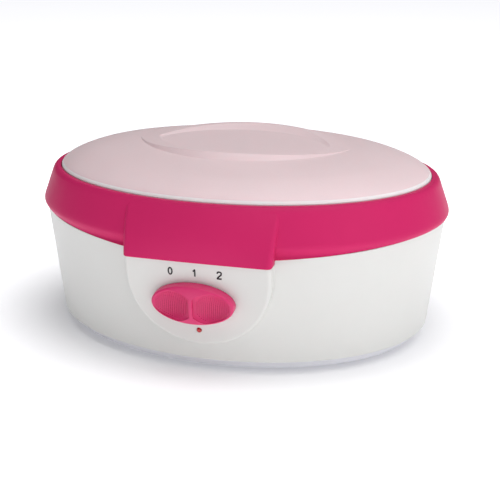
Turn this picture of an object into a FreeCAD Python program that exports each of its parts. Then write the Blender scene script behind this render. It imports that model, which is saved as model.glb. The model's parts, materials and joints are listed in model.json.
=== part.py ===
"""Paraffin wax bath: oval heated tub in a tapered housing, trim ring, lid and slide switch.

The axis of the oval is Z, the long side lies along X and the control panel faces -Y.
All lengths are millimetres and every driving length is a cell of the "dims" sheet.
"""
import FreeCAD
import Part
import Sketcher
import math
import os

SIZES = [
    ("rim_a", 134.5, "lid rim, half length"),
    ("rim_b", 99.8, "lid rim, half width"),
    ("rim_z", 117.3, "upper edge of the straight lid rim"),
    ("rim_low", 115.0, "underside of the lid rim"),
    ("dome_rise", 17.5, "dome height over the rim"),
    ("lid_wall", 2.2, "lid thickness"),
    ("grip_long", 75.5, "grip crest, half length"),
    ("grip_wide", 51.5, "grip crest, half width"),
    ("grip_slope", 5.0, "extra half width at the foot of the grip slope"),
    ("grip_top", 138.0, "highest level of the grip crest"),
    ("belt_a", 148.0, "widest part of the trim ring, half length"),
    ("belt_b", 113.4, "widest part of the trim ring, half width"),
    ("belt_z", 93.6, "level of the widest part"),
    ("ledge_z", 112.7, "ledge that carries the tub"),
    ("ledge_low", 110.7, "underside of the ledge"),
    ("sweep_r", 1480.0, "radius of the curved joint line"),
    ("joint_z", 83.7, "lowest point of the joint line"),
    ("plate_z", 81.0, "lower edge of the front plate"),
    ("plate_y", 115.0, "front plate distance from the axis"),
    ("plate_w", 49.0, "front plate, half width at the bottom"),
    ("foot_a", 137.3, "housing lower edge, half length"),
    ("foot_b", 103.2, "housing lower edge, half width"),
    ("skirt_z", 10.0, "housing lower edge level"),
    ("slope_a", 0.1074, "housing wall flare along X"),
    ("slope_b", 0.1025, "housing wall flare along Y"),
    ("wall", 2.6, "housing and trim wall"),
    ("panel_y", 109.9, "panel face distance at the knob centre"),
    ("panel_z", 52.5, "knob centre level"),
    ("panel_r", 48.6, "round lower end of the panel"),
    ("panel_up", 17.7, "centre of the round end over the knob centre"),
    ("panel_edge", 2.4, "rounding of the panel edge"),
    ("knob_a", 27.6, "knob, half length"),
    ("knob_b", 13.6, "knob, half height"),
    ("knob_x", -2.0, "knob centre from the switch stem along X"),
    ("knob_up", 1.0, "knob centre over the switch stem"),
    ("knob_out", 9.4, "knob height over the panel"),
    ("knob_gap", 0.4, "gap between knob and panel"),
    ("travel", 7.0, "knob travel to each side"),
    ("stem_x", 3.0, "switch stem, half length"),
    ("stem_y", 1.5, "switch stem, half height"),
    ("lamp_r", 1.75, "pilot lamp radius"),
    ("lamp_down", 20.0, "pilot lamp below the knob centre"),
    ("base_a", 130.8, "base pan, half length"),
    ("base_b", 96.7, "base pan, half width"),
    ("base_z", 3.0, "underside of the base pan"),
    ("base_top", 12.3, "upper edge of the base pan"),
    ("base_floor", 5.5, "inner floor of the base pan"),
    ("tub_a", 124.5, "tub outside at the top, half length"),
    ("tub_b", 89.7, "tub outside at the top, half width"),
    ("tub_low_a", 112.0, "tub outside at the bottom, half length"),
    ("tub_low_b", 78.0, "tub outside at the bottom, half width"),
    ("tub_z", 42.0, "underside of the tub"),
    ("tub_wall", 1.5, "tub thickness"),
    ("flange_z", 113.3, "underside of the tub flange"),
    ("flange_top", 114.6, "top of the tub flange"),
    ("post_x", 101.0, "trim post position along X"),
    ("post_y", 62.0, "trim post position along Y"),
    ("boss_x", 86.0, "base boss position along X"),
    ("boss_y", 58.0, "base boss position along Y"),
    ("pad_x", 84.0, "rubber foot position along X"),
    ("pad_y", 44.0, "rubber foot position along Y"),
    ("screw_r", 1.5, "screw shank radius"),
    ("pilot_r", 1.6, "screw hole radius"),
    ("gland_z", 30.0, "cable gland level"),
    ("gland_end", 119.4, "cable gland outer end"),
    ("gland_bore", 3.6, "cable gland bore radius"),
    ("wire_r", 1.1, "internal wire radius"),
]

doc = FreeCAD.newDocument("wax_bath")
sheet = doc.addObject("Spreadsheet::Sheet", "dims")


class Dim:
    """A length that carries its number and its spreadsheet expression together."""

    def __init__(self, number, text):
        self.number = float(number)
        self.text = text

    def __add__(self, other):
        other = as_dim(other)
        return Dim(self.number + other.number, f"({self.text} + {other.text})")

    def __sub__(self, other):
        other = as_dim(other)
        return Dim(self.number - other.number, f"({self.text} - {other.text})")

    def __mul__(self, other):
        other = as_dim(other)
        return Dim(self.number * other.number, f"({self.text} * {other.text})")

    def __truediv__(self, other):
        other = as_dim(other)
        return Dim(self.number / other.number, f"({self.text} / {other.text})")

    def __neg__(self):
        return Dim(-self.number, f"(-1 * {self.text})")


def as_dim(value):
    """Wrap a plain number as a Dim."""
    if isinstance(value, Dim):
        return value
    return Dim(value, f"{float(value):.6f}")


class Sizes:
    """Every spreadsheet cell as an attribute holding a Dim."""


D = Sizes()
for row, (alias, size, note) in enumerate(SIZES, start=1):
    sheet.set(f"A{row}", note)
    sheet.set(f"B{row}", str(size))
    sheet.setAlias(f"B{row}", alias)
    setattr(D, alias, Dim(size, f"dims.{alias}"))
doc.recompute()

X_AXIS = FreeCAD.Vector(1, 0, 0)
Y_AXIS = FreeCAD.Vector(0, 1, 0)
Z_AXIS = FreeCAD.Vector(0, 0, 1)
TO_BACK = FreeCAD.Rotation(X_AXIS, -90)
PANEL_TURN = FreeCAD.Rotation(X_AXIS, 96.52)
CORNERS = [(1, 1), (1, -1), (-1, 1), (-1, -1)]


# ---------------------------------------------------------------- building helpers
def bind(obj, prop, value):
    """Drive one property of an object from the sheet."""
    obj.setExpression(prop, as_dim(value).text)


def put(obj, x=0, y=0, z=0, turn=None):
    """Place an object at a position driven from the sheet."""
    if turn is not None:
        obj.Placement = FreeCAD.Placement(FreeCAD.Vector(0, 0, 0), turn)
    for axis, value in (("x", x), ("y", y), ("z", z)):
        bind(obj, f"Placement.Base.{axis}", value)
    return obj


def on_panel(obj):
    """Move an object drawn in panel axes (X, up, outward) on to the sloping panel."""
    return put(obj, 0, -D.panel_y, D.panel_z, PANEL_TURN)


def oval_solid(name, sections, ruled=False):
    """Loft a solid through level ellipses given as (half length, half width, level)."""
    rings = []
    for number, (half_x, half_y, level) in enumerate(sections):
        ring = doc.addObject("Part::Ellipse", f"{name}_ring{number}")
        bind(ring, "MajorRadius", half_x)
        bind(ring, "MinorRadius", half_y)
        rings.append(put(ring, z=level))
    loft = doc.addObject("Part::Loft", name)
    loft.Sections = rings
    loft.Solid = True
    loft.Ruled = ruled
    return loft


def oval_disc(name, half_x, half_y, low, high):
    """Straight oval slab between two levels."""
    return oval_solid(name, [(half_x, half_y, low), (half_x, half_y, high)])


def oval_prism(name, half_x, half_y, low, high, x=0, y=0):
    """Straight elliptical prism between two levels, centred at (x, y)."""
    outline = doc.addObject("Part::Ellipse", f"{name}_outline")
    bind(outline, "MajorRadius", half_x)
    bind(outline, "MinorRadius", half_y)
    put(outline, x, y, low)
    prism = doc.addObject("Part::Extrusion", name)
    prism.Base = outline
    prism.DirMode = "Custom"
    prism.Dir = Z_AXIS
    prism.Solid = True
    bind(prism, "LengthFwd", as_dim(high) - low)
    return prism


def cylinder(name, radius, height, x=0, y=0, z=0, turn=None):
    """Round bar; its axis is Z unless it is turned."""
    bar = doc.addObject("Part::Cylinder", name)
    bind(bar, "Radius", radius)
    bind(bar, "Height", height)
    return put(bar, x, y, z, turn)


def box(name, size_x, size_y, size_z, x=0, y=0, z=0):
    """Box whose centre in X and Y is at (x, y) and whose underside is at z."""
    block = doc.addObject("Part::Box", name)
    bind(block, "Length", size_x)
    bind(block, "Width", size_y)
    bind(block, "Height", size_z)
    return put(block, as_dim(x) - as_dim(size_x) / 2, as_dim(y) - as_dim(size_y) / 2, z)


def hexagon(name, radius, height, x=0, y=0, z=0, turn=None):
    """Hexagonal prism."""
    prism = doc.addObject("Part::Prism", name)
    prism.Polygon = 6
    bind(prism, "Circumradius", radius)
    bind(prism, "Height", height)
    return put(prism, x, y, z, turn)


def ellipsoid(name, radius_x, radius_y, radius_z, x=0, y=0, z=0):
    """Full ellipsoid."""
    solid = doc.addObject("Part::Ellipsoid", name)
    bind(solid, "Radius1", radius_z)
    bind(solid, "Radius2", radius_x)
    bind(solid, "Radius3", radius_y)
    return put(solid, x, y, z)


def cut(name, base, tool):
    """Base minus tool."""
    result = doc.addObject("Part::Cut", name)
    result.Base = base
    result.Tool = tool
    return result


def common(name, first, second):
    """Shared volume of two solids."""
    result = doc.addObject("Part::Common", name)
    result.Base = first
    result.Tool = second
    return result


def fuse(name, parts):
    """One solid from several touching solids."""
    result = doc.addObject("Part::MultiFuse", name)
    result.Shapes = parts
    result.Refine = True
    return result


def group(name, parts):
    """Separate solids kept together as one node."""
    result = doc.addObject("Part::Compound", name)
    result.Links = parts
    return result


def rounded(name, base, radius, wanted):
    """Round the edges of base for which wanted(edge) is true."""
    doc.recompute()
    edges = []
    for number, edge in enumerate(base.Shape.Edges, start=1):
        if wanted(edge):
            edges.append((number, radius, radius))
    result = doc.addObject("Part::Fillet", name)
    result.Base = base
    result.Edges = edges
    return result


def level_edge(level):
    """Test for an edge that lies at one level."""
    def wanted(edge):
        bounds = edge.BoundBox
        return abs(bounds.ZMin - level) < 0.05 and abs(bounds.ZMax - level) < 0.05
    return wanted


def plane_of(body, role):
    """Origin plane of a body."""
    for feature in body.Origin.OriginFeatures:
        if feature.Role == role:
            return feature
    raise ValueError(role)


def drive_point(sketch, geometry, end, x, y):
    """Fix one sketch point at driven coordinates."""
    for kind, value, axis in (("DistanceX", x, -2), ("DistanceY", y, -1)):
        value = as_dim(value)
        if abs(value.number) < 1e-9:
            sketch.addConstraint(Sketcher.Constraint("PointOnObject", geometry, end, axis))
        else:
            index = sketch.addConstraint(
                Sketcher.Constraint(kind, -1, 1, geometry, end, value.number))
            sketch.setExpression(f"Constraints[{index}]", value.text)


def draw_outline(sketch, points):
    """Closed polygon through driven points."""
    corners = [FreeCAD.Vector(as_dim(x).number, as_dim(y).number, 0) for x, y in points]
    count = len(points)
    for number in range(count):
        sketch.addGeometry(Part.LineSegment(corners[number], corners[(number + 1) % count]))
    for number in range(count):
        sketch.addConstraint(
            Sketcher.Constraint("Coincident", number, 2, (number + 1) % count, 1))
    for number, (x, y) in enumerate(points):
        drive_point(sketch, number, 1, x, y)


def new_sketch(body, name, role):
    """Sketch on an origin plane of a body."""
    sketch = body.newObject("Sketcher::SketchObject", name)
    sketch.AttachmentSupport = [(plane_of(body, role), "")]
    sketch.MapMode = "FlatFace"
    return sketch


def turned_body(name, outline):
    """Body revolved about its Z axis from (radius, level) points."""
    body = doc.addObject("PartDesign::Body", name)
    sketch = new_sketch(body, f"{name}_outline", "XZ_Plane")
    draw_outline(sketch, outline)
    revolution = body.newObject("PartDesign::Revolution", f"{name}_turn")
    revolution.Profile = sketch
    revolution.ReferenceAxis = (sketch, ["V_Axis"])
    revolution.Angle = 360.0
    body.Tip = revolution
    return body


def screw_body(name, head_r, head_h, shank_r, length):
    """Plain screw with its seat at level zero, head below and shank above."""
    return turned_body(name, [
        (0, -as_dim(head_h)), (as_dim(head_r) * 0.8, -as_dim(head_h)),
        (head_r, -as_dim(head_h) * 0.55), (head_r, 0), (shank_r, 0),
        (shank_r, as_dim(length) - 1.5), (0, length)])


def copies(name, source, places, turn=None):
    """Linked copies of one body at several places, grouped as one node."""
    parts = []
    for number, (x, y, z) in enumerate(places):
        link = doc.addObject("Part::Compound", f"{name}_copy{number}")
        link.Links = [source]
        parts.append(put(link, x, y, z, turn))
    return group(name, parts)


def four(x, y, z):
    """The four mirrored places of a point."""
    return [(as_dim(x) * sx, as_dim(y) * sy, z) for sx, sy in CORNERS]


def wire_run(name, points):
    """Round wire: straight runs through the points, joined by tangent arcs."""
    corners = [FreeCAD.Vector(*point) for point in points]
    edges = []
    start = corners[0]
    for before, corner, after in zip(corners, corners[1:], corners[2:]):
        arrive = (corner - before).normalize()
        leave = (after - corner).normalize()
        turn = arrive.getAngle(leave)
        reach = min(0.45 * min((corner - before).Length, (after - corner).Length),
                    9 * math.tan(turn / 2))
        first = corner - arrive * reach
        last = corner + leave * reach
        inward = (leave - arrive).normalize()
        radius = reach / math.tan(turn / 2)
        middle = corner + inward * (radius / math.cos(turn / 2) - radius)
        edges.append(Part.LineSegment(start, first).toShape())
        edges.append(Part.Arc(first, middle, last).toShape())
        start = last
    edges.append(Part.LineSegment(start, corners[-1]).toShape())
    path = doc.addObject("Part::Feature", f"{name}_path")
    path.Shape = Part.Wire(edges)
    ring = doc.addObject("Part::Circle", f"{name}_ring")
    ring.Placement = FreeCAD.Placement(
        corners[0], FreeCAD.Rotation(Z_AXIS, corners[1] - corners[0]))
    bind(ring, "Radius", D.wire_r)
    sweep = doc.addObject("Part::Sweep", name)
    sweep.Sections = [ring]
    sweep.Spine = (path, [f"Edge{number}" for number in range(1, len(edges) + 1)])
    sweep.Solid = True
    sweep.Frenet = True
    return node(sweep, name)


def housing_a(level, grow=0):
    """Half length of the housing wall at a level."""
    return D.foot_a + grow + (as_dim(level) - D.skirt_z) * D.slope_a


def housing_b(level, grow=0):
    """Half width of the housing wall at a level."""
    return D.foot_b + grow + (as_dim(level) - D.skirt_z) * D.slope_b


def housing_solid(name, low, high, grow):
    """Tapered oval that follows the housing wall at an offset."""
    return oval_solid(name, [
        (housing_a(low, grow), housing_b(low, grow), low),
        (housing_a(high, grow), housing_b(high, grow), high)])


nodes = []


def node(obj, name):
    """Register a finished sub-part under its label."""
    obj.Label = name
    nodes.append(obj)
    return obj


# ---------------------------------------------------------------- joint line
def joint_tool(name, raise_by):
    """Very large bar along Y; its lower side is the curved joint line."""
    return cylinder(name, D.sweep_r - raise_by, 300, 0, -150, D.joint_z + D.sweep_r, TO_BACK)


# ---------------------------------------------------------------- housing
def panel_slab(name, radius, thick, edge):
    """U-shaped slab in panel axes between the two levels of thick, edge rounded if asked."""
    low, high = thick
    depth = as_dim(high) - low
    disc = cylinder(f"{name}_disc", radius, depth, 0, D.panel_up, low)
    block = box(f"{name}_block", as_dim(radius) * 2, 30, depth, 0, D.panel_up + 15, low)
    slab = fuse(f"{name}_u", [disc, block])
    if edge:
        slab = rounded(f"{name}_soft", slab, edge, level_edge(as_dim(high).number))
    return on_panel(slab)


outer_wall = housing_solid("outer_wall", D.skirt_z, 97, 0)
outer_wall_soft = rounded("outer_wall_soft", outer_wall, 1.2, level_edge(D.skirt_z.number))
panel_raw = panel_slab("panel", D.panel_r, (-22, 0), D.panel_edge.number)
above_panel = box("above_panel", 140, 60, 40, 0, -D.panel_y, D.plate_z - 0.2)
panel_form = cut("panel_form", panel_raw, above_panel)
housing_full = fuse("housing_full", [outer_wall_soft, panel_form])
inner_wall = housing_solid("inner_wall", D.skirt_z + 2.5, 97, -D.wall)
panel_hollow_raw = panel_slab("panel_hollow", D.panel_r - D.wall, (-24, -D.wall), 0)
hollow_top = box("hollow_top", 140, 60, 40, 0, -D.panel_y, D.plate_z - 2.8)
panel_hollow = cut("panel_hollow_cut", panel_hollow_raw, hollow_top)
housing_hollow = fuse("housing_hollow", [inner_wall, panel_hollow])
base_opening = oval_disc("base_opening", D.base_a + 0.4, D.base_b + 0.4, D.skirt_z - 1,
                         D.skirt_z + 3)
housing_shell = cut("housing_shell", housing_full,
                    fuse("housing_space", [housing_hollow, base_opening]))

gland_seat = cylinder("gland_seat", 11, 8.5, 0, 98.5, D.gland_z, TO_BACK)
housing_parts = [housing_shell, gland_seat]
rib_limit = housing_solid("rib_limit", D.skirt_z + 3, 96, -2.0)
rib_parts = []
for number, (sx, sy) in enumerate(CORNERS):
    boss_x, boss_y = D.boss_x * sx, D.boss_y * sy
    outward = math.degrees(math.atan2(sy * 0.9, sx))
    rib = doc.addObject("Part::Box", f"boss_rib{number}")
    rib.Length, rib.Width, rib.Height = 46, 2.4, 17
    put(rib, boss_x, boss_y, 14, FreeCAD.Rotation(Z_AXIS, outward))
    lug = doc.addObject("Part::Box", f"trim_lug{number}")
    lug.Length, lug.Width, lug.Height = 40, 9, 3
    put(lug, D.post_x * sx + 4.5 * math.sin(math.radians(outward)),
        D.post_y * sy - 4.5 * math.cos(math.radians(outward)), 70,
        FreeCAD.Rotation(Z_AXIS, outward))
    lug_end = cylinder(f"lug_end{number}", 4.5, 3, D.post_x * sx, D.post_y * sy, 70)
    rib_parts += [rib, lug, lug_end]
ribs = common("ribs", fuse("rib_group", rib_parts), rib_limit)
bosses = [cylinder(f"base_boss{number}", 4.5, 26.4, x, y, D.base_floor + 0.1)
          for number, (x, y, z) in enumerate(four(D.boss_x, D.boss_y, 0))]
mounts = [cylinder(f"switch_boss{number}", 2.6, 5, side * 19, 0, -D.wall - 3)
          for number, side in enumerate((-1, 1))]
switch_mounts = on_panel(fuse("switch_mounts", mounts))

panel_holes = on_panel(fuse("panel_holes", [
    box("stem_slot", (D.travel + D.stem_x + 0.7) * 2, D.stem_y * 2 + 1.2, 8, 0, 0, -6),
    cylinder("lamp_hole", D.lamp_r + 0.15, 12, 0, -D.lamp_down, -8),
    cylinder("switch_pilot0", 1.1, 5.5, -19, 0, -D.wall - 4),
    cylinder("switch_pilot1", 1.1, 5.5, 19, 0, -D.wall - 4)]))
housing_holes = [
    joint_tool("housing_joint", 0),
    panel_holes,
    hexagon("gland_hole", 7.6, 30, 0, 90, D.gland_z, TO_BACK),
]
housing_holes += [cylinder(f"boss_pilot{number}", D.pilot_r, 16, x, y, z)
                  for number, (x, y, z) in enumerate(four(D.boss_x, D.boss_y, D.base_floor))]
housing_holes += [cylinder(f"lug_hole{number}", D.pilot_r + 0.2, 5, x, y, z)
                  for number, (x, y, z) in enumerate(four(D.post_x, D.post_y, 69))]
housing_solid_all = fuse("housing_joined", housing_parts + [ribs, switch_mounts] + bosses)
housing = node(cut("housing_body", housing_solid_all, fuse("housing_cuts", housing_holes)),
               "housing")

# ---------------------------------------------------------------- trim ring
BAND = [(-17.6, -1.9), (-9.0, -0.85), (-1.5, -0.15), (0.0, 0.0), (1.5, -0.35), (3.0, -0.85),
        (8.0, -2.7), (14.0, -4.9), (19.0, -6.75), (21.2, -7.75), (22.6, -8.9), (23.2, -10.4)]
band_outer = oval_solid("band_outer", [
    (D.belt_a + inset, D.belt_b + inset, D.belt_z + lift) for lift, inset in BAND])
band_lower = common("band_lower", band_outer, joint_tool("band_joint", 0.2))


def plate_section(name, half, corner, middle, level):
    """Level section of the front plate: curved front, straight sides and back."""
    half, corner, middle = as_dim(half), as_dim(corner), as_dim(middle)
    bow = middle - corner
    radius = (half * half + bow * bow) / (bow * 2)
    sketch = doc.addObject("Sketcher::SketchObject", name)
    centre = FreeCAD.Vector(0, radius.number - middle.number, 0)
    swing = math.asin(half.number / radius.number)
    sketch.addGeometry(Part.ArcOfCircle(
        Part.Circle(centre, Z_AXIS, radius.number), 1.5 * math.pi - swing,
        1.5 * math.pi + swing))
    left = FreeCAD.Vector(-half.number, -corner.number, 0)
    right = FreeCAD.Vector(half.number, -corner.number, 0)
    back_left = FreeCAD.Vector(-half.number, -80, 0)
    back_right = FreeCAD.Vector(half.number, -80, 0)
    sketch.addGeometry(Part.LineSegment(right, back_right))
    sketch.addGeometry(Part.LineSegment(back_right, back_left))
    sketch.addGeometry(Part.LineSegment(back_left, left))
    sketch.addConstraint(Sketcher.Constraint("Coincident", 0, 2, 1, 1))
    sketch.addConstraint(Sketcher.Constraint("Coincident", 1, 2, 2, 1))
    sketch.addConstraint(Sketcher.Constraint("Coincident", 2, 2, 3, 1))
    sketch.addConstraint(Sketcher.Constraint("Coincident", 3, 2, 0, 1))
    drive_point(sketch, 1, 1, half, -corner)
    drive_point(sketch, 2, 1, half, as_dim(-80))
    drive_point(sketch, 3, 1, -half, as_dim(-80))
    drive_point(sketch, 0, 1, -half, -corner)
    index = sketch.addConstraint(Sketcher.Constraint("Radius", 0, radius.number))
    sketch.setExpression(f"Constraints[{index}]", radius.text)
    return put(sketch, z=level)


plate_raw = doc.addObject("Part::Loft", "plate_raw")
plate_raw.Sections = [
    plate_section("plate_low", D.plate_w, D.plate_y - 0.4, D.plate_y, D.plate_z),
    plate_section("plate_belt", D.plate_w + 0.9, D.plate_y - 4.6, D.plate_y - 0.2, D.belt_z),
    plate_section("plate_top", D.plate_w + 2.4, D.belt_b - 16.2, D.belt_b - 7.9, 115.6)]
plate_raw.Solid = True


def plate_side_edge(edge):
    """Front upright edges of the plate."""
    bounds = edge.BoundBox
    return bounds.ZLength > 20 and bounds.YMin < -100 and bounds.YMax < -90


def plate_low_edge(edge):
    """Lower front edge of the plate."""
    bounds = edge.BoundBox
    return bounds.ZMax < 84.5 and bounds.YMax < -105 and bounds.XLength > 60


plate_sides = rounded("plate_sides", plate_raw, 3.4, plate_side_edge)
plate_soft = rounded("plate_soft", plate_sides, 0.9, plate_low_edge)
below_joint = cut("below_joint", housing_solid("wall_clear", 60, 97, 0.3),
                  joint_tool("plate_joint", 0.2))
plate = cut("plate", plate_soft, below_joint)
skirt = oval_solid("trim_skirt", [
    (housing_a(76, -3.3), housing_b(76, -3.3), 76),
    (housing_a(96, -3.3), housing_b(96, -3.3), 96)])
band_full = fuse("band_full", [band_lower, plate, skirt])
skirt_hollow = oval_solid("skirt_hollow", [
    (housing_a(60, -4.9), housing_b(60, -4.9), 60),
    (housing_a(95.5, -4.9), housing_b(95.5, -4.9), 95.5)])
band_hollow = oval_solid("band_hollow", [
    (D.belt_a - 4.2, D.belt_b - 4.2, 95.4),
    (D.belt_a - 11.6, D.belt_b - 11.6, D.ledge_low)])
tub_opening = oval_disc("tub_opening", D.tub_a + 1, D.tub_b + 1, 104, 120)
lid_recess = oval_disc("lid_recess", D.rim_a + 0.6, D.rim_b + 0.6, D.ledge_z, 122)
band_shell = cut("band_shell", band_full, fuse("band_cuts", [
    skirt_hollow, band_hollow, tub_opening, lid_recess]))
posts = [cylinder(f"post{number}", 4, D.ledge_low + 1 - 73.1, x, y, z)
         for number, (x, y, z) in enumerate(four(D.post_x, D.post_y, 73.1))]
post_pilots = [cylinder(f"post_pilot{number}", D.pilot_r, 16, x, y, z)
               for number, (x, y, z) in enumerate(four(D.post_x, D.post_y, 73))]
trim = node(cut("trim_body", fuse("trim_joined", [band_shell] + posts),
                fuse("post_holes", post_pilots)), "trim_ring")

# ---------------------------------------------------------------- lid
def dome(name, shrink, level):
    """Flat-crowned oval dome from stacked ellipses."""
    sections = []
    for part in (1.0, 0.985, 0.95, 0.88, 0.78, 0.64, 0.46, 0.26, 0.06):
        rise = (1 - part ** 4) ** 0.68
        sections.append(((D.rim_a - shrink) * part, (D.rim_b - shrink) * part,
                         as_dim(level) + (D.dome_rise - shrink * 0.2) * rise))
    return oval_solid(name, sections)


lid_rim = oval_disc("lid_rim", D.rim_a, D.rim_b, D.rim_low, D.rim_z)
lid_dome = dome("lid_dome", 0, D.rim_z)


def eye_outline(name, half_long, half_wide, level):
    """Level eye-shaped outline of two equal arcs."""
    half_long, half_wide = as_dim(half_long), as_dim(half_wide)
    radius = (half_long * half_long + half_wide * half_wide) / (half_wide * 2)
    sketch = doc.addObject("Sketcher::SketchObject", name)
    swing = math.asin(half_long.number / radius.number)
    shift = radius.number - half_wide.number
    for side in (1, -1):
        middle = side * math.pi / 2
        sketch.addGeometry(Part.ArcOfCircle(
            Part.Circle(FreeCAD.Vector(0, -side * shift, 0), Z_AXIS, radius.number),
            middle - swing, middle + swing))
    sketch.addConstraint(Sketcher.Constraint("Coincident", 0, 2, 1, 1))
    sketch.addConstraint(Sketcher.Constraint("Coincident", 1, 2, 0, 1))
    drive_point(sketch, 0, 1, half_long, 0)
    drive_point(sketch, 0, 2, -half_long, 0)
    for arc in (0, 1):
        index = sketch.addConstraint(Sketcher.Constraint("Radius", arc, radius.number))
        sketch.setExpression(f"Constraints[{index}]", radius.text)
    return put(sketch, z=level)


def eye_form(name, low, high):
    """Eye-shaped solid between two outlines given as (long, wide, level)."""
    loft = doc.addObject("Part::Loft", name)
    loft.Sections = [eye_outline(f"{name}_low", *low), eye_outline(f"{name}_high", *high)]
    loft.Solid = True
    loft.Ruled = True
    return loft


grip_form = eye_form(
    "grip_form", (D.grip_long + 2.5, D.grip_wide + D.grip_slope, D.grip_top - 5.2),
    (D.grip_long, D.grip_wide, D.grip_top))
# a very large bar along Y bows the crest down to the dome at both tips
grip_bow = cylinder("grip_bow", 700, 160, 0, -80, D.grip_top - 700, TO_BACK)
grip_inside = eye_form(
    "grip_inside", (D.grip_long - 14.5, D.grip_wide - 13.5, D.grip_top - 3.9),
    (D.grip_long - 2, D.grip_wide - 2, D.grip_top + 0.4))
grip_ridge = cut("grip_ridge", common("grip_bowed", grip_form, grip_bow), grip_inside)
lid_outer = fuse("lid_outer", [lid_rim, lid_dome, grip_ridge])
lid_hollow = fuse("lid_hollow", [
    dome("lid_inner_dome", D.lid_wall.number, D.rim_z - 1.2),
    oval_disc("lid_inner_rim", D.rim_a - D.lid_wall, D.rim_b - D.lid_wall,
              D.rim_low - 1, D.rim_z - 1.2)])
lid_shell = cut("lid_shell", lid_outer, lid_hollow)
collar = cut("lid_collar",
             oval_disc("collar_out", D.tub_a - 4.6, D.tub_b - 4.6, 107, D.rim_z + 11),
             oval_disc("collar_in", D.tub_a - 6.4, D.tub_b - 6.4, 106, D.rim_z + 12))
collar_limit = common("collar_fit", collar, fuse("collar_space", [
    dome("collar_dome", 0.9, D.rim_z - 0.5),
    oval_disc("collar_low", D.rim_a - 0.9, D.rim_b - 0.9, 105, D.rim_z - 0.5)]))
lid = node(fuse("lid_body", [lid_shell, collar_limit]), "lid")

# ---------------------------------------------------------------- tub and seal
tub_outer = rounded("tub_outer", oval_solid("tub_form", [
    (D.tub_low_a, D.tub_low_b, D.tub_z), (D.tub_a, D.tub_b, D.flange_top)]), 9,
    level_edge(D.tub_z.number))
tub_inner = rounded("tub_inner", oval_solid("tub_space", [
    (D.tub_low_a - D.tub_wall, D.tub_low_b - D.tub_wall, D.tub_z + D.tub_wall),
    (D.tub_a - D.tub_wall + 0.2, D.tub_b - D.tub_wall + 0.2, D.flange_top + 1)]), 7.5,
    level_edge(D.tub_z.number + D.tub_wall.number))
tub_flange = oval_disc("tub_flange", D.rim_a - 1, D.rim_b - 1, D.flange_z, D.flange_top)
studs = [cylinder(f"stud{number}", 2, 8.4, side * 48, 0, D.tub_z - 8)
         for number, side in enumerate((-1, 1))]
tub = node(fuse("tub_body", [
    cut("tub_shell", fuse("tub_solid", [tub_outer, tub_flange]), tub_inner)] + studs), "tub")

seal = node(cut("seal_ring",
                oval_disc("seal_out", D.rim_a - 2.5, D.rim_b - 2.5, D.ledge_z, D.flange_z),
                oval_disc("seal_in", D.tub_a + 2, D.tub_b + 2, D.ledge_z - 1, D.flange_z + 1)),
            "tub_seal")

blanket_out = oval_solid("blanket_out", [
    (D.tub_low_a + 5.2, D.tub_low_b + 5.2, 54), (D.tub_a + 1.6, D.tub_b + 1.6, 100)])
blanket_in = oval_solid("blanket_in", [
    (D.tub_low_a + 2.4, D.tub_low_b + 2.4, 53), (D.tub_a - 1.3, D.tub_b - 1.3, 101)])
blanket = node(cut("blanket", blanket_out, blanket_in), "insulation_blanket")

# ---------------------------------------------------------------- hand guard grille
guard_plate = oval_disc("guard_plate", 98, 64, 54, 56.4)
guard_slots = []
for number in range(-5, 6):
    reach = 52 * math.sqrt(1 - (number * 15.2 / 92) ** 2)
    guard_slots.append(box(f"guard_slot{number + 5}", 9.5, 2 * reach, 6, number * 15.2, 0, 52))
guard_legs = [cylinder(f"guard_leg{number}", 3, 10.4, x, y, z)
              for number, (x, y, z) in enumerate(four(76, 30, 43.8))]
guard_bar = box("guard_bar", 180, 5, 2.4, 0, 0, 54)
guard = node(fuse("guard_body", [
    cut("guard_cut", guard_plate, fuse("guard_slots", guard_slots)), guard_bar] + guard_legs),
    "hand_guard")

# ---------------------------------------------------------------- heater group
stud_holes = [cylinder(f"pad_hole{number}", 2.6, 20, side * 48, 0, 30)
              for number, side in enumerate((-1, 1))]
pad_holes = fuse("pad_holes", stud_holes)
heater = node(cut("heater_pad", oval_disc("heater_form", 88, 55, 39.6, D.tub_z), pad_holes),
              "heater_pad")
clamp = node(cut("clamp_plate", oval_disc("clamp_form", 84, 51, 38.2, 39.6), pad_holes),
             "heater_clamp_plate")
nut_parts = []
for number, side in enumerate((-1, 1)):
    nut_parts.append(cut(f"stud_nut{number}",
                         hexagon(f"nut_form{number}", 4.2, 3.4, side * 48, 0, 34.8),
                         cylinder(f"nut_bore{number}", 2.1, 6, side * 48, 0, 33)))
node(group("stud_nuts", nut_parts), "stud_nuts")


def thermostat(name, x, y):
    """Bimetal disc thermostat with two blades, flat under the clamp plate."""
    parts = [
        cylinder(f"{name}_cap", 8, 2.4, x, y, 35.8),
        cylinder(f"{name}_case", 7, 4.6, x, y, 31.4),
        box(f"{name}_blade0", 0.8, 5, 7, x - 4, y, 24.6),
        box(f"{name}_blade1", 0.8, 5, 7, x + 4, y, 24.6),
    ]
    return fuse(f"{name}_body", parts)


node(thermostat("control", -18, 22), "control_thermostat")
node(thermostat("safety", 18, 22), "safety_thermostat")
clip_parts = []
for number, x in enumerate((-18, 18)):
    strap = fuse(f"clip{number}", [
        cut(f"clip_frame{number}",
            box(f"clip_block{number}", 8, 26, 3.6, x, 22, 34.6),
            fuse(f"clip_space{number}", [
                cylinder(f"clip_round{number}", 8.2, 3, x, 22, 35.6),
                cylinder(f"clip_neck{number}", 7.2, 6, x, 22, 33)])),
        cylinder(f"clip_ear{number}a", 4, 1.2, x, 22 + 13, 37),
        cylinder(f"clip_ear{number}b", 4, 1.2, x, 22 - 13, 37)])
    clip_parts.append(strap)
node(group("thermostat_clips", clip_parts), "thermostat_clips")

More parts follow.
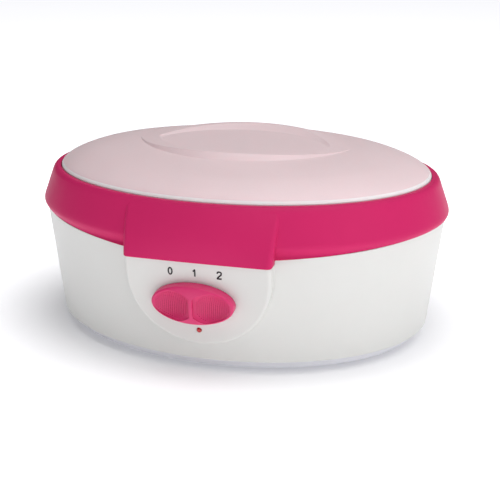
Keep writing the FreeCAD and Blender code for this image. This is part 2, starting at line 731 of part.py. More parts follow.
fuse_link = fuse("fuse_link", [
    cylinder("fuse_case", 2.1, 12, 10, -20, 36.1, FreeCAD.Rotation(Y_AXIS, 90)),
    cylinder("fuse_lead", 0.6, 26, 3, -20, 36.1, FreeCAD.Rotation(Y_AXIS, 90))])
node(fuse_link, "thermal_fuse")

# ---------------------------------------------------------------- base pan, feet, screws
pan_outer = rounded("pan_outer", oval_disc("pan_form", D.base_a, D.base_b, D.base_z,
                                           D.base_top), 1.6, level_edge(D.base_z.number))
pan_inner = oval_disc("pan_inner", D.base_a - 2.4, D.base_b - 2.4, D.base_floor, 20)
pan_cuts = [pan_inner]
for number, (x, y, z) in enumerate(four(D.boss_x, D.boss_y, D.base_z)):
    pan_cuts.append(cylinder(f"pan_sink{number}", 3.7, 2.5, x, y, D.base_z - 1))
    pan_cuts.append(cylinder(f"pan_screw{number}", D.pilot_r + 0.2, 9, x, y, 0))
for number, (x, y, z) in enumerate(four(D.pad_x, D.pad_y, 0)):
    pan_cuts.append(cylinder(f"pan_foot{number}", 2.7, 9, x, y, z))
for number in range(9):
    pan_cuts.append(box(f"vent{number}", 3, 42, 9, (number - 4) * 9, -34, 0))
block_posts = [cylinder(f"block_post{number}", 3.4, 4.6, side * 24, 66, D.base_floor - 0.1)
               for number, side in enumerate((-1, 1))]
post_bores = [cylinder(f"block_bore{number}", 1.1, 9, side * 24, 66, D.base_z + 1.2)
              for number, side in enumerate((-1, 1))]
pan = node(cut("pan_body", fuse("pan_joined", [
    cut("pan_shell", pan_outer, fuse("pan_cuts", pan_cuts))] + block_posts),
    fuse("block_bores", post_bores)), "base_pan")

foot = turned_body("foot_form", [
    (0, 0), (6.2, 0), (7, 0.8), (6.6, D.base_z), (2.5, D.base_z),
    (2.5, D.base_floor), (3.3, D.base_floor), (1.6, D.base_floor + 3),
    (0, D.base_floor + 3)])
node(copies("feet", foot, four(D.pad_x, D.pad_y, 0)), "rubber_feet")

base_screw = screw_body("base_screw_form", 3.2, 1.3, D.screw_r, 15)
node(copies("base_screws", base_screw, four(D.boss_x, D.boss_y, D.base_z + 1.5)),
     "base_screws")
trim_screw = screw_body("trim_screw_form", 3.2, 2.2, D.screw_r, 15)
node(copies("trim_screws", trim_screw, four(D.post_x, D.post_y, 70)), "trim_screws")

# ---------------------------------------------------------------- knob
knob_crown = ellipsoid("knob_crown", D.knob_a + 8, D.knob_b + 6.5, D.knob_out)
knob_plan = oval_prism("knob_plan", D.knob_a, D.knob_b, D.knob_gap, D.knob_out)


def knob_top_edge(edge):
    """Outer edge of the knob's crown."""
    return edge.BoundBox.ZMin > 4


knob_cap = rounded("knob_cap", common("knob_blank", knob_plan, knob_crown), 1.5, knob_top_edge)
knob_rim = oval_prism("knob_rim", D.knob_a - 1.3, D.knob_b - 1.2, 0, 12)
knob_inner_rim = oval_prism("knob_inner_rim", D.knob_a - 2.6, D.knob_b - 2.5, 0, 12)
scoops = []
groove_zones = []
for number, side in enumerate((-1, 1)):
    scoop_x = D.knob_a * (side * 0.5)
    scoop_side = box(f"scoop_side{number}", 30, 40, 14, side * 16.1, 0, -1)
    scoop_oval = oval_prism(f"scoop_oval{number}", 15.6, 11.2, 0, 12, scoop_x, -1.0)
    scoop_plan = common(f"scoop_plan{number}", scoop_oval, scoop_side)
    scoop_dish = ellipsoid(f"scoop_dish{number}", 20, 17, 13.6, scoop_x, -1.0, 17)
    scoops.append(common(f"scoop{number}", scoop_plan, scoop_dish))
    groove_plan = oval_prism(f"groove_plan{number}", 11.9, 9.9, 0, 12, scoop_x, -1.0)
    groove_dish = ellipsoid(f"groove_dish{number}", 20, 17, 14, scoop_x, -1.0, 17)
    bars = [box(f"groove{number}_{step}", 0.55, 24, 12, scoop_x + (step - 8) * 1.3, 0, 1)
            for step in range(17)]
    groove_zone = common(f"groove_zone{number}", groove_plan, groove_dish)
    groove_zones.append(common(f"groove_set{number}", group(f"groove_bars{number}", bars),
                               common(f"groove_limit{number}", groove_zone, knob_inner_rim)))
knob_face = knob_cap
for number in (0, 1):
    scoop = common(f"scoop_limit{number}", scoops[number], knob_rim)
    knob_face = cut(f"knob_scooped{number}", knob_face, scoop)
for number in (0, 1):
    knob_face = cut(f"knob_ribbed{number}", knob_face, groove_zones[number])
put(knob_face, D.knob_x, D.knob_up, 0)
stem = box("knob_stem", D.stem_x * 2, D.stem_y * 2, D.wall + 8.4, 0, 0, -D.wall - 7.2)
knob = node(on_panel(fuse("knob_body", [knob_face, stem])), "slide_knob")

# ---------------------------------------------------------------- switch and pilot lamp
case_form = fuse("case_form", [
    box("case_box", 32, 12, 11, 0, 0, -D.wall - 14.2),
    box("case_flange", 46, 8, 1.6, 0, 0, -D.wall - 4.6)])
case_cuts = fuse("case_cuts", [
    box("case_space", (D.travel + D.stem_x + 0.8) * 2, 4.6, 8.4, 0, 0, -D.wall - 9.2),
    cylinder("case_hole0", 1.5, 8, -19, 0, -D.wall - 8),
    cylinder("case_hole1", 1.5, 8, 19, 0, -D.wall - 8)])
node(on_panel(cut("switch_case_body", case_form, case_cuts)), "switch_case")
pins = []
for number, (x, y) in enumerate([(-9, -3), (-3, -3), (3, -3), (9, -3), (-3, 3), (3, 3)]):
    pins.append(box(f"pin{number}", 1.6, 0.6, 5, x, y, -D.wall - 19.2))
node(on_panel(group("switch_pins", pins)), "switch_terminals")
switch_screw = screw_body("switch_screw_form", 2.2, 1.4, 1.0, 5.5)
screw_places = [(-19, 0, -D.wall - 4.6), (19, 0, -D.wall - 4.6)]
node(on_panel(copies("switch_screws", switch_screw, screw_places)), "switch_screws")

lens = turned_body("lamp_lens_form", [
    (0, -4), (D.lamp_r, -4), (D.lamp_r, 0.1), (D.lamp_r * 0.85, 0.5), (D.lamp_r * 0.5, 0.75),
    (0, 0.85)])
put(lens, 0, -D.lamp_down, 0)
node(on_panel(group("lamp_lens_set", [lens])), "pilot_lamp_lens")
lamp = fuse("lamp_case", [
    cylinder("lamp_base", 3, 6, 0, -D.lamp_down, -D.wall - 7.6),
    cylinder("lamp_flange", 4.6, 1.4, 0, -D.lamp_down, -D.wall - 3)])
node(on_panel(cut("lamp_case_cut", lamp, cylinder("lamp_seat", D.lamp_r + 0.1, 3.3, 0,
                                                  -D.lamp_down, -D.wall - 1.6 - 1.3))),
     "pilot_lamp_case")

# ---------------------------------------------------------------- gland and terminals
gland_form = turned_body("gland_form", [
    (D.gland_bore, -14), (6, -14), (6, 0), (9.2, 0), (9.2, 3.6), (8.2, 4.4), (7.6, 9.4),
    (5.8, D.gland_end - 107), (D.gland_bore, D.gland_end - 107)])
put(gland_form, 0, 107, D.gland_z, TO_BACK)
gland_key = cut("gland_key", hexagon("gland_hex", 7.3, 7, 0, 100, D.gland_z, TO_BACK),
                cylinder("gland_key_bore", 5, 12, 0, 98, D.gland_z, TO_BACK))
node(fuse("gland_keyed", [gland_form, gland_key]), "cable_gland")
lock_nut = cut("lock_nut", hexagon("lock_hex", 9.6, 4, 0, 94.4, D.gland_z, TO_BACK),
               cylinder("lock_bore", 6.1, 8, 0, 92, D.gland_z, TO_BACK))
node(lock_nut, "gland_lock_nut")

block_form = fuse("block_form", [
    box("block_box", 38, 15, 12, 0, 66, 10.1), box("block_ears", 56, 9, 3, 0, 66, 10.1)])
block_cuts = [cylinder(f"block_hole{number}", 1.4, 9, side * 24, 66, 8)
              for number, side in enumerate((-1, 1))]
for number, x in enumerate((-12, 0, 12)):
    block_cuts.append(cylinder(f"entry{number}", 1.8, 20, x, 56, 14.5, TO_BACK))
    block_cuts.append(cylinder(f"well{number}", 2.6, 6, x, 66, 17.4))
    block_cuts.append(cylinder(f"thread{number}", 1.4, 4, x, 66, 14.5))
node(cut("block_body", block_form, fuse("block_cuts", block_cuts)), "terminal_block")
clamp_screw = screw_body("clamp_screw_form", 2.3, 1.6, 1.2, 2.4)
node(copies("clamp_screws", clamp_screw, [(x, 66, 19.2) for x in (-12, 0, 12)],
            FreeCAD.Rotation(X_AXIS, 180)), "terminal_clamp_screws")
block_screw = screw_body("block_screw_form", 2.2, 1.4, 1.0, 7)
node(copies("block_screws", block_screw, [(side * 24, 66, 13.1) for side in (-1, 1)],
            FreeCAD.Rotation(X_AXIS, 180)), "terminal_fixing_screws")

# ---------------------------------------------------------------- internal wires
wire_run("wire_supply", [(-12, 58.5, 14.5), (-12, 46, 14.5), (-44, 18, 14.5),
                         (-44, -58, 14.5), (-9, -89.7, 15.5), (-9, -89.7, 51.2)])
wire_run("wire_switched", [(3, -89.7, 51.2), (3, -89.7, 22), (3, -60, 20), (-4, -30, 20),
                           (-22, -2, 20), (-22, 22, 16), (-22, 22, 24.6)])
wire_run("wire_link", [(-14, 22, 24.6), (-14, 22, 18), (14, 22, 18), (14, 22, 24.6)])
wire_run("wire_to_fuse", [(22, 22, 24.6), (22, 22, 17), (34, -2, 18), (37, -20, 36.1),
                          (29, -20, 36.1)])
wire_run("wire_heater", [(3, -20, 36.1), (-8, -20, 36.1), (-8, -53, 30), (-8, -53, 39.6)])
wire_run("wire_neutral", [(12, 58.5, 14.5), (12, 46, 14.5), (44, 18, 14.5), (44, -30, 14.5),
                          (10, -53, 16), (10, -53, 39.6)])
wire_run("wire_lamp_feed", [(9, -89.7, 51.2), (9, -89.7, 41), (6.5, -93.6, 36.5),
                            (1.3, -93.4, 34.4), (1.3, -97.4, 33.9)])
wire_run("wire_lamp_return", [(-1.3, -97.4, 33.9), (-1.3, -86, 33.9), (-1.3, -80, 15),
                              (0, 30, 14.5), (0, 58.5, 14.5)])
doc.recompute()

# ---------------------------------------------------------------- checks and export
bad = []
for obj in doc.Objects:
    if "Invalid" in obj.State or "Error" in obj.State:
        bad.append(f"{obj.Name}: {obj.State}")
for obj in nodes:
    if obj.Shape.isNull() or not obj.Shape.isValid():
        bad.append(f"{obj.Label}: shape is not valid")
if bad:
    raise RuntimeError("; ".join(bad))

os.makedirs("parts", exist_ok=True)
for obj in nodes:
    obj.Shape.exportStep(os.path.join("parts", f"{obj.Label}.step"))
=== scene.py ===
"""Looks of the paraffin wax bath: materials, printed digits, floor, light and camera."""

import json
import math

import bpy
from mathutils import Matrix, Vector


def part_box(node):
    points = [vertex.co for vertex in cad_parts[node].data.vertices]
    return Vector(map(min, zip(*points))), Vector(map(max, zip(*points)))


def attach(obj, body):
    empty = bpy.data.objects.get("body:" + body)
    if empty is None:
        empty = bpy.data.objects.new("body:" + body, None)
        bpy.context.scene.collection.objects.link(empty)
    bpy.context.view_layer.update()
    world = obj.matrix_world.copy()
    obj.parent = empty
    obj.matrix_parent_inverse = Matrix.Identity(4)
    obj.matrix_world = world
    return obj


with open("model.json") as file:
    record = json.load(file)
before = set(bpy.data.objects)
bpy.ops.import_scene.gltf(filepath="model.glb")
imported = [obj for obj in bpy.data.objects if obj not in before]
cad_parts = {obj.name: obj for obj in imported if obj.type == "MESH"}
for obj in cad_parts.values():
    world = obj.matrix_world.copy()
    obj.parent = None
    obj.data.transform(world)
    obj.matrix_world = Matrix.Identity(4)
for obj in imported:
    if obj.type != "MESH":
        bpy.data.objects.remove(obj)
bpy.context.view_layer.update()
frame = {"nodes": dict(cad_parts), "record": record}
nodes = frame["nodes"]

# Panel axes, in metres: X across, PANEL_UP along the sloping panel, PANEL_OUT away from it.
PANEL_POINT = Vector((0.0, -0.1099, 0.0525))
PANEL_TILT = math.radians(96.52)
PANEL_UP = Vector((0.0, math.cos(PANEL_TILT), math.sin(PANEL_TILT)))
PANEL_OUT = Vector((0.0, -math.sin(PANEL_TILT), math.cos(PANEL_TILT)))


# Printed digits: pen width, ink thickness and height on the panel in metres, and the
# half height and half width of a figure in millimetres.
PEN = 0.00100
INK = 0.00008
DIGIT_UP = 0.0213
DIGIT_ACROSS = {"zero": -0.0174, "one": -0.0011, "two": 0.0153}
TALL = 2.35
WIDE = 1.25
PRINT_LIFT = 0.00004  # keeps the print just clear of the panel face


# ---------------------------------------------------------------- material helpers
class Graph:
    """Small wrapper that adds and links shader nodes of one material."""

    def __init__(self, name):
        self.material = bpy.data.materials.new(name)
        self.material.use_nodes = True
        self.tree = self.material.node_tree
        self.shader = self.tree.nodes["Principled BSDF"]
        self.coords = self.add("ShaderNodeTexCoord").outputs["Object"]

    def add(self, kind, **settings):
        made = self.tree.nodes.new(kind)
        for key, value in settings.items():
            setattr(made, key, value)
        return made

    def link(self, source, target):
        self.tree.links.new(source, target)

    def noise(self, scale, detail=3.0, roughness=0.55, stretch=None):
        """Noise of a given cell count per metre; stretch scales the three axes."""
        texture = self.add("ShaderNodeTexNoise")
        texture.inputs["Scale"].default_value = scale
        texture.inputs["Detail"].default_value = detail
        texture.inputs["Roughness"].default_value = roughness
        if stretch:
            mapping = self.add("ShaderNodeMapping")
            mapping.inputs["Scale"].default_value = stretch
            self.link(self.coords, mapping.inputs["Vector"])
            self.link(mapping.outputs["Vector"], texture.inputs["Vector"])
        else:
            self.link(self.coords, texture.inputs["Vector"])
        return texture.outputs["Fac"]

    def spread(self, value, low, high, start=0.3, end=0.7):
        """Map a 0 to 1 value to a low to high range."""
        ranged = self.add("ShaderNodeMapRange")
        ranged.inputs["From Min"].default_value = start
        ranged.inputs["From Max"].default_value = end
        ranged.inputs["To Min"].default_value = low
        ranged.inputs["To Max"].default_value = high
        self.link(value, ranged.inputs["Value"])
        return ranged.outputs["Result"]

    def blend(self, factor, first, second, mode="MIX"):
        """Mix two colours; each is a tuple or a socket."""
        mix = self.add("ShaderNodeMix", data_type="RGBA", blend_type=mode)
        for socket, value in ((mix.inputs[0], factor), (mix.inputs[6], first),
                              (mix.inputs[7], second)):
            if isinstance(value, bpy.types.NodeSocket):
                self.link(value, socket)
            elif isinstance(value, (int, float)):
                socket.default_value = value
            else:
                socket.default_value = (*value, 1.0)
        return mix.outputs[2]

    def bump(self, height, strength, distance, below=None):
        """Add a bump layer over an earlier one."""
        bump = self.add("ShaderNodeBump")
        bump.inputs["Strength"].default_value = strength
        bump.inputs["Distance"].default_value = distance
        self.link(height, bump.inputs["Height"])
        if below is not None:
            self.link(below, bump.inputs["Normal"])
        return bump.outputs["Normal"]

    def colour(self, source):
        self.link(source, self.shader.inputs["Base Color"])

    def roughness(self, source):
        self.link(source, self.shader.inputs["Roughness"])

    def normal(self, source):
        self.link(source, self.shader.inputs["Normal"])


def shade(colour, factor):
    """A colour made lighter or darker."""
    return tuple(min(1.0, channel * factor) for channel in colour)


def moulded_plastic(name, colour, rough, grain=2600, grain_depth=0.00002, mottle=0.04,
                    coat=0.0, glow=0.0, glow_radius=(0.004, 0.003, 0.003), gloss=0.5):
    """Injection-moulded plastic: spark-eroded grain, soft flow marks and faint mottling."""
    graph = Graph(name)
    flow = graph.noise(14, 2.0, 0.5, (1.0, 1.0, 0.35))
    cloud = graph.noise(60, 3.0)
    base = graph.blend(graph.spread(flow, 0.0, 1.0), shade(colour, 1 - mottle),
                       shade(colour, 1 + mottle))
    base = graph.blend(graph.spread(cloud, 0.0, 0.5), base, shade(colour, 1 - mottle * 0.6))
    graph.colour(base)
    fine = graph.noise(grain, 2.0, 0.6)
    graph.roughness(graph.spread(cloud, rough - 0.035, rough + 0.035))
    waves = graph.bump(flow, 0.12, 0.0003)
    graph.normal(graph.bump(fine, 0.5, grain_depth, waves))
    shader = graph.shader
    shader.inputs["Specular IOR Level"].default_value = gloss
    shader.inputs["Coat Weight"].default_value = coat
    shader.inputs["Coat Roughness"].default_value = 0.12
    shader.inputs["Subsurface Weight"].default_value = glow
    shader.inputs["Subsurface Radius"].default_value = glow_radius
    shader.inputs["Subsurface Scale"].default_value = 1.0
    return graph.material


def frosted_lid(name, colour, highlight_colour, highlight_level):
    """Satin milky plastic with a fine speckle and a painted highlight: a paler strip along its
    rim.
    """
    graph = Graph(name)
    speckle = graph.noise(1500, 2.0, 0.7)
    cloud = graph.noise(22, 3.0, 0.6)
    base = graph.blend(graph.spread(cloud, 0.0, 1.0), shade(colour, 0.985), shade(colour, 1.015))
    base = graph.blend(graph.spread(speckle, 0.0, 0.5), base, shade(colour, 1.05))
    height = graph.add("ShaderNodeSeparateXYZ")
    graph.link(graph.coords, height.inputs["Vector"])
    # painted highlight: below the highlight level the lid takes the pale highlight colour along
    # its rim
    rim = graph.spread(height.outputs["Z"], 0.0, 1.0, highlight_level + 0.0003, highlight_level)
    graph.colour(graph.blend(rim, base, highlight_colour))
    graph.roughness(graph.spread(cloud, 0.44, 0.52))
    graph.normal(graph.bump(speckle, 0.4, 0.00002))
    shader = graph.shader
    shader.inputs["Specular IOR Level"].default_value = 0.35
    shader.inputs["Subsurface Weight"].default_value = 0.2
    shader.inputs["Subsurface Radius"].default_value = (0.006, 0.004, 0.004)
    return graph.material


def metal(name, colour, rough, stretch, depth=0.00002):
    """Metal with fine drawn or spun lines."""
    graph = Graph(name)
    lines = graph.noise(700, 3.0, 0.7, stretch)
    cloud = graph.noise(45, 3.0)
    graph.colour(graph.blend(graph.spread(cloud, 0.0, 1.0), shade(colour, 0.9), colour))
    graph.roughness(graph.spread(lines, rough - 0.07, rough + 0.1))
    graph.normal(graph.bump(lines, 0.4, depth))
    graph.shader.inputs["Metallic"].default_value = 1.0
    return graph.material


def rubber(name, colour, rough, glow=0.0):
    """Dusty moulded rubber or silicone."""
    graph = Graph(name)
    dust = graph.noise(220, 4.0)
    fine = graph.noise(2400, 2.0)
    graph.colour(graph.blend(graph.spread(dust, 0.0, 0.35), colour,
                             shade(colour, 1.5)))
    graph.roughness(graph.spread(dust, rough - 0.06, rough + 0.06))
    graph.normal(graph.bump(fine, 0.4, 0.00004))
    graph.shader.inputs["Subsurface Weight"].default_value = glow
    graph.shader.inputs["Subsurface Radius"].default_value = (0.002, 0.0015, 0.0012)
    return graph.material


def felt(name, colour):
    """Needled felt: short crossing fibres."""
    graph = Graph(name)
    along = graph.noise(900, 4.0, 0.7, (1.0, 1.0, 0.15))
    across = graph.noise(800, 4.0, 0.7, (0.2, 0.2, 1.0))
    fibres = graph.blend(0.5, along, across)
    graph.colour(graph.blend(graph.spread(along, 0.0, 1.0), shade(colour, 0.7), colour))
    graph.roughness(graph.spread(across, 0.85, 1.0))
    graph.normal(graph.bump(fibres, 0.9, 0.0004))
    graph.shader.inputs["Sheen Weight"].default_value = 0.3
    return graph.material


def lamp_lens(name, colour):
    """Clear red moulded lens with a slight inner glow."""
    graph = Graph(name)
    haze = graph.noise(900, 2.0)
    graph.colour(graph.blend(graph.spread(haze, 0.0, 1.0), shade(colour, 0.8), colour))
    graph.roughness(graph.spread(haze, 0.12, 0.2))
    shader = graph.shader
    shader.inputs["Coat Weight"].default_value = 0.6
    shader.inputs["Coat Roughness"].default_value = 0.05
    shader.inputs["Subsurface Weight"].default_value = 0.3
    shader.inputs["Subsurface Radius"].default_value = (0.002, 0.0004, 0.0004)
    return graph.material


def ink(name, colour):
    """Pad-printed ink: slightly uneven cover."""
    graph = Graph(name)
    cover = graph.noise(1500, 3.0)
    graph.colour(graph.blend(graph.spread(cover, 0.0, 0.6), colour, shade(colour, 1.8)))
    graph.roughness(graph.spread(cover, 0.38, 0.52))
    return graph.material


# ---------------------------------------------------------------- materials
PINK = (0.630, 0.024, 0.135)
KNOB_PINK = (0.70, 0.036, 0.165)
WHITE = (0.755, 0.753, 0.725)
LID = (0.885, 0.700, 0.722)
# painted highlight: the pale strip along the lid's rim, up to a little above the top of the trim
# ring
LID_RIM_HIGHLIGHT = (0.97, 0.95, 0.95)
LID_RIM_HIGHLIGHT_RISE = 0.0022
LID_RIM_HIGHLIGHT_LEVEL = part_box("trim_ring")[1][2] + LID_RIM_HIGHLIGHT_RISE

looks = {
    "lid_plastic": frosted_lid("lid_frosted_plastic", LID, LID_RIM_HIGHLIGHT, LID_RIM_HIGHLIGHT_LEVEL),
    "trim_plastic": moulded_plastic("trim_deep_pink", PINK, 0.42, 2800, 0.000015, 0.03,
                                    gloss=0.08),
    "shell_plastic": moulded_plastic("shell_off_white", WHITE, 0.40, 2600, 0.00002, 0.015,
                                     glow=0.08),
    "base_plastic": moulded_plastic("base_light_grey", (0.86, 0.86, 0.91), 0.5, 2200),
    "knob_plastic": moulded_plastic("knob_deep_pink", KNOB_PINK, 0.34, 3000, 0.00001, 0.03,
                                    glow=0.1, glow_radius=(0.002, 0.0006, 0.0008),
                                    gloss=0.35),
    "tub_metal": metal("tub_spun_aluminium", (0.80, 0.81, 0.82), 0.32, (0.05, 0.05, 1.0)),
    "guard_plastic": moulded_plastic("guard_natural_white", (0.80, 0.80, 0.76), 0.45,
                                     glow=0.15),
    "silicone": rubber("seal_silicone", (0.62, 0.60, 0.56), 0.5, 0.2),
    "foot_rubber": rubber("foot_rubber", (0.045, 0.045, 0.047), 0.7),
    "felt": felt("blanket_felt", (0.76, 0.73, 0.64)),
    "heater_mica": rubber("heater_silicone", (0.40, 0.08, 0.035), 0.55),
    "sheet_steel": metal("zinc_sheet", (0.60, 0.60, 0.61), 0.38, (1.0, 0.06, 1.0)),
    "screw_steel": metal("zinc_screw", (0.58, 0.57, 0.55), 0.30, (1.0, 1.0, 0.1)),
    "thermo_case": moulded_plastic("phenolic_black", (0.030, 0.026, 0.024), 0.35),
    "fuse_case": metal("fuse_can", (0.74, 0.74, 0.75), 0.25, (0.1, 1.0, 1.0)),
    "switch_black": moulded_plastic("switch_nylon", (0.028, 0.028, 0.030), 0.48),
    "brass_pins": metal("tinned_brass", (0.66, 0.54, 0.30), 0.30, (0.1, 1.0, 1.0)),
    "lamp_red": lamp_lens("lamp_red_lens", (0.52, 0.002, 0.006)),
    "lamp_body": moulded_plastic("lamp_nylon", (0.75, 0.75, 0.74), 0.45),
    "gland_plastic": moulded_plastic("gland_nylon", (0.72, 0.72, 0.70), 0.45),
    "block_plastic": moulded_plastic("block_polyamide", (0.76, 0.74, 0.66), 0.5, glow=0.1),
    "wire_red": rubber("wire_silicone_red", (0.46, 0.02, 0.02), 0.45),
    "wire_blue": rubber("wire_silicone_blue", (0.03, 0.09, 0.36), 0.45),
    "wire_white": rubber("wire_silicone_white", (0.70, 0.70, 0.69), 0.45),
}

slot_of = {part["node"]: part["material_slot"] for part in frame["record"]["subparts"]}
for name, obj in nodes.items():
    obj.data.materials.clear()
    obj.data.materials.append(looks[slot_of[name]])


# ---------------------------------------------------------------- printed digits
def on_panel(piece, across, up):
    """Lay a flat piece on the sloping panel."""
    place = PANEL_POINT + Vector((across, 0, 0)) + PANEL_UP * up + PANEL_OUT * PRINT_LIFT
    piece.matrix_world = Matrix((
        (1.0, 0.0, 0.0, place.x),
        (0.0, PANEL_UP.y, PANEL_OUT.y, place.y),
        (0.0, PANEL_UP.z, PANEL_OUT.z, place.z),
        (0.0, 0.0, 0.0, 1.0)))
    piece.data.materials.append(print_ink)
    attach(piece, "bath")


def printed_stroke(name, points, across, up, closed=False):
    """Thin raised print of one pen stroke through points given in millimetres."""
    curve = bpy.data.curves.new(name, "CURVE")
    curve.dimensions = "3D"
    stroke = curve.splines.new("NURBS")
    stroke.points.add(len(points) - 1)
    for point, (x, y) in zip(stroke.points, points):
        point.co = (x * 0.001, y * 0.001, 0.0, 1.0)
    stroke.order_u = 3
    stroke.use_cyclic_u = closed
    stroke.use_endpoint_u = not closed
    stroke.resolution_u = 10
    # a flat pen nib: wide in the panel plane, thin across it
    nib = bpy.data.curves.new(f"{name}_nib", "CURVE")
    nib.dimensions = "2D"
    edge = nib.splines.new("POLY")
    edge.points.add(3)
    half_pen, half_ink = PEN / 2, INK / 2
    corners = ((-half_pen, -half_ink), (half_pen, -half_ink), (half_pen, half_ink),
               (-half_pen, half_ink))
    for point, (x, y) in zip(edge.points, corners):
        point.co = (x, y, 0.0, 1.0)
    edge.use_cyclic_u = True
    nib_object = bpy.data.objects.new(f"{name}_nib", nib)
    curve.bevel_mode = "OBJECT"
    curve.bevel_object = nib_object
    curve.use_fill_caps = True
    drawn = bpy.data.objects.new(f"{name}_path", curve)
    bpy.context.scene.collection.objects.link(drawn)
    bpy.context.view_layer.update()
    mesh = bpy.data.meshes.new_from_object(drawn.evaluated_get(
        bpy.context.evaluated_depsgraph_get()))
    bpy.data.objects.remove(drawn)
    bpy.data.objects.remove(nib_object)
    mesh.name = name
    made = bpy.data.objects.new(name, mesh)
    bpy.context.scene.collection.objects.link(made)
    on_panel(made, across, up)


print_ink = ink("print_dark_grey", (0.012, 0.012, 0.013))
zero = [(WIDE * math.cos(math.radians(step * 30)), TALL * math.sin(math.radians(step * 30)))
        for step in range(12)]
one = [(-1.1, 1.25), (-0.5, 1.45), (0.05, TALL), (0.2, TALL), (0.2, TALL), (0.2, 0.0),
       (0.2, -TALL)]
two = [(-1.3, 1.1), (-1.25, TALL), (0.1, TALL + 0.15), (1.3, TALL - 0.2), (1.3, 0.6),
       (0.3, -0.3), (-0.9, -1.4), (-1.35, -TALL + 0.1), (-1.3, -TALL), (-1.3, -TALL),
       (0.0, -TALL), (1.4, -TALL)]
printed_stroke("digit_zero", zero, DIGIT_ACROSS["zero"], DIGIT_UP, closed=True)
printed_stroke("digit_one", one, DIGIT_ACROSS["one"], DIGIT_UP)
printed_stroke("digit_two", two, DIGIT_ACROSS["two"], DIGIT_UP)


# ---------------------------------------------------------------- floor
FLOOR_REACH = 9.0
FLOOR_SHADOW_SQUEEZE = (0.78, 1.0, 1.0)  # makes the painted shadow under the bath an oval
FLOOR_GLOW_AND_SHADOW = (0.17, 0.78)  # emission strength under the bath, a painted shadow, and away from it, a painted glow
FLOOR_SHADOW_FADE = (0.11, 0.20)  # distances from the middle between which it changes


def studio_floor():
    """Large pale floor with the faintest unevenness and painted light: it glows away from the
    bath and is dimmer under it as a painted shadow.
    """
    mesh = bpy.data.meshes.new("floor")
    reach = FLOOR_REACH
    mesh.from_pydata([(-reach, -reach, 0), (reach, -reach, 0), (reach, reach, 0),
                      (-reach, reach, 0)], [], [(0, 1, 2, 3)])
    floor = bpy.data.objects.new("floor", mesh)
    bpy.context.scene.collection.objects.link(floor)
    graph = Graph("floor_paper")
    cloud = graph.noise(3, 2.0)
    graph.colour(graph.blend(graph.spread(cloud, 0.0, 1.0), (0.90, 0.90, 0.92),
                             (0.92, 0.92, 0.93)))
    graph.shader.inputs["Roughness"].default_value = 0.9
    graph.shader.inputs["Specular IOR Level"].default_value = 0.1
    graph.shader.inputs["Emission Color"].default_value = (0.97, 0.97, 1.0, 1.0)
    # painted shadow and glow: the floor's emission rises with the oval distance from the middle
    squeeze = graph.add("ShaderNodeVectorMath", operation="MULTIPLY")
    squeeze.inputs[1].default_value = FLOOR_SHADOW_SQUEEZE
    graph.link(graph.coords, squeeze.inputs[0])
    distance = graph.add("ShaderNodeVectorMath", operation="LENGTH")
    graph.link(squeeze.outputs["Vector"], distance.inputs[0])
    glow = graph.spread(distance.outputs["Value"], *FLOOR_GLOW_AND_SHADOW, *FLOOR_SHADOW_FADE)
    graph.link(glow, graph.shader.inputs["Emission Strength"])
    floor.data.materials.append(graph.material)


studio_floor()


# ---------------------------------------------------------------- light
def area_light(name, place, target, size, power, colour=(1.0, 1.0, 1.0)):
    """Square softbox that faces a target."""
    lamp = bpy.data.lights.new(name, "AREA")
    lamp.shape = "RECTANGLE"
    lamp.size, lamp.size_y = size
    lamp.energy = power
    lamp.color = colour
    made = bpy.data.objects.new(name, lamp)
    bpy.context.scene.collection.objects.link(made)
    made.location = place
    aim = Vector(target) - Vector(place)
    made.rotation_euler = aim.to_track_quat("-Z", "Y").to_euler()
    return made


area_light("top_softbox", (0.35, -0.25, 1.6), (0, 0, 0.1), (1.8, 1.8), 20.5)
area_light("right_key", (1.6, -0.9, 0.9), (0, 0, 0.08), (0.8, 0.8), 4)
area_light("front_fill", (0.2, -2.2, 0.8), (0, 0, 0.08), (1.4, 1.0), 0.8)


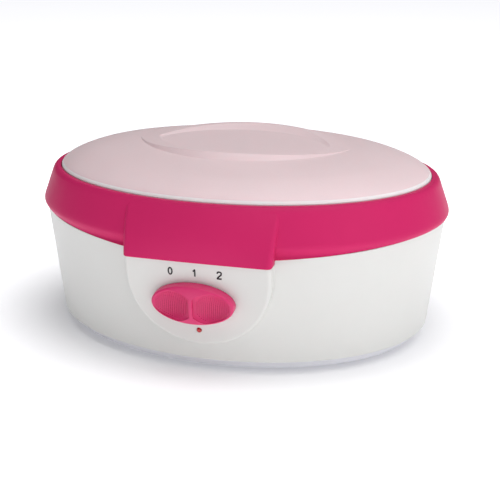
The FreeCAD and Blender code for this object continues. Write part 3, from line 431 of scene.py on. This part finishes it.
def studio_surround():
    """Soft light from all round, stronger from the right, and a pale wall behind the floor."""
    world = bpy.data.worlds.new("studio")
    bpy.context.scene.world = world
    world.use_nodes = True
    tree = world.node_tree

    surround = tree.nodes["Background"]
    surround.inputs["Color"].default_value = (0.97, 0.98, 1.0, 1.0)
    direction = tree.nodes.new("ShaderNodeTexCoord")
    sides = tree.nodes.new("ShaderNodeSeparateXYZ")
    fade = tree.nodes.new("ShaderNodeMapRange")
    fade.inputs["From Min"].default_value = -0.9
    fade.inputs["From Max"].default_value = 0.9
    fade.inputs["To Min"].default_value = 0.06
    fade.inputs["To Max"].default_value = 0.29
    tree.links.new(direction.outputs["Generated"], sides.inputs["Vector"])
    tree.links.new(sides.outputs["X"], fade.inputs["Value"])
    tree.links.new(fade.outputs["Result"], surround.inputs["Strength"])

    # the wall is only seen: it gives no light of its own
    wall = tree.nodes.new("ShaderNodeBackground")
    wall.inputs["Color"].default_value = (0.97, 0.97, 1.0, 1.0)
    seen = tree.nodes.new("ShaderNodeLightPath")
    choice = tree.nodes.new("ShaderNodeMixShader")
    tree.links.new(seen.outputs["Is Camera Ray"], choice.inputs["Fac"])
    tree.links.new(surround.outputs["Background"], choice.inputs[1])
    tree.links.new(wall.outputs["Background"], choice.inputs[2])
    tree.links.new(choice.outputs["Shader"], tree.nodes["World Output"].inputs["Surface"])


studio_surround()
bpy.context.scene.view_settings.view_transform = "Standard"


# ---------------------------------------------------------------- camera
SENSOR = 36.0
SHIFT_UP = -0.002


def photo_camera(azimuth, elevation, roll, place, lens):
    """Camera at a place in metres, with its angles in degrees and its lens in millimetres."""
    turn, rise, lean = (math.radians(value) for value in (azimuth, elevation, roll))
    back = Vector((math.sin(turn) * math.cos(rise), -math.cos(turn) * math.cos(rise),
                   math.sin(rise)))
    level = Vector((math.cos(turn), math.sin(turn), 0))
    upright = back.cross(level)
    right = level * math.cos(lean) + upright * math.sin(lean)
    above = upright * math.cos(lean) - level * math.sin(lean)
    data = bpy.data.cameras.new("camera")
    data.lens = lens
    data.sensor_width = SENSOR
    data.shift_y = SHIFT_UP
    data.clip_start = 0.01
    data.clip_end = 50.0
    camera = bpy.data.objects.new("camera", data)
    bpy.context.scene.collection.objects.link(camera)
    camera.matrix_world = Matrix((
        (right.x, above.x, back.x, place[0]),
        (right.y, above.y, back.y, place[1]),
        (right.z, above.z, back.z, place[2]),
        (0.0, 0.0, 0.0, 1.0)))
    bpy.context.scene.camera = camera


photo_camera(14.773, 19.014, 0.353, (0.1802, -0.6624, 0.2893), 70.2)
